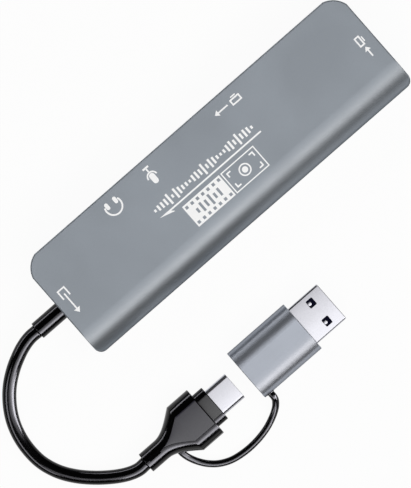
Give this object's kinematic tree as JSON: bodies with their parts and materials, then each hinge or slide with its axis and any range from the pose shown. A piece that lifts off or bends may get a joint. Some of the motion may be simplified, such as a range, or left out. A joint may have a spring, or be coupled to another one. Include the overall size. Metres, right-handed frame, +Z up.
{
  "type": "video capture box",
  "caption": "Flat grey box with a rounded spine, video sockets and audio jacks, a short data cable with a reversible plug and a tethered flat-plug adapter; captures video.",
  "frame": {"origin": "middle of the box's underside, cable and adapter left out", "axes": "+X along the box towards the video input end, +Y towards the port side, +Z up"},
  "size_m": [0.1426, 0.0769, 0.0125],
  "materials": {
    "housing": "satin anodised, blue-grey",
    "sleeve": "drawn and anodised, silver-grey",
    "steel": "bright nickel plate",
    "screw_steel": "plated screw",
    "contact_gold": "gold flash",
    "wire": "insulated copper wire",
    "insulator": "black moulded insulator",
    "core": "dark moulded core",
    "grip": "glossy black overmould with a matte top panel",
    "collar": "dark grey moulded collar",
    "cord": "smooth black cable jacket",
    "blue_insert": "dark blue moulded tongue",
    "board": "green solder mask",
    "chip": "chip package",
    "ceramic": "ceramic capacitor",
    "ferrite": "moulded inductor",
    "pad": "soft thermal pad",
    "nylon": "off-white nylon"
  },
  "bodies": {
    "capture_box": {"upper_shell": "housing", "lower_shell": "housing", "case_screws": "screw_steel", "main_board": "board", "capture_chip": "chip", "loop_out_chip": "chip", "audio_chip": "chip", "memory_chip": "chip", "crystals": "steel", "inductors": "ferrite", "regulator": "chip", "capacitors": "ceramic", "thermal_pad": "pad", "video_in_shell": "steel", "video_in_tongue": "insulator", "video_in_contacts": "contact_gold", "video_out_shell": "steel", "video_out_tongue": "insulator", "video_out_contacts": "contact_gold", "mic_jack_body": "insulator", "mic_jack_contacts": "contact_gold", "headphone_jack_body": "insulator", "headphone_jack_contacts": "contact_gold", "wire_header": "nylon", "cable_wires": "wire", "cable_relief": "cord", "data_cable": "cord", "plug_grip": "grip", "plug_collar": "collar", "plug_shell": "steel", "plug_insert": "insulator", "plug_contacts": "contact_gold", "plug_board": "board", "tether": "cord"},
    "adapter": {"tether_anchor": "cord", "adapter_sleeve": "sleeve", "adapter_core": "core", "adapter_board": "board", "socket_shell": "steel", "socket_tongue": "insulator", "socket_contacts": "contact_gold", "flat_plug_shell": "steel", "flat_plug_tongue": "blue_insert", "flat_plug_contacts": "contact_gold"}
  },
  "joints": [
    {"name": "adapter_slide", "type": "slide", "parent": "capture_box", "child": "adapter", "axis": [-1, 0, 0], "range_m": [0, 0.01395], "deforming": ["tether"]}
  ]
}
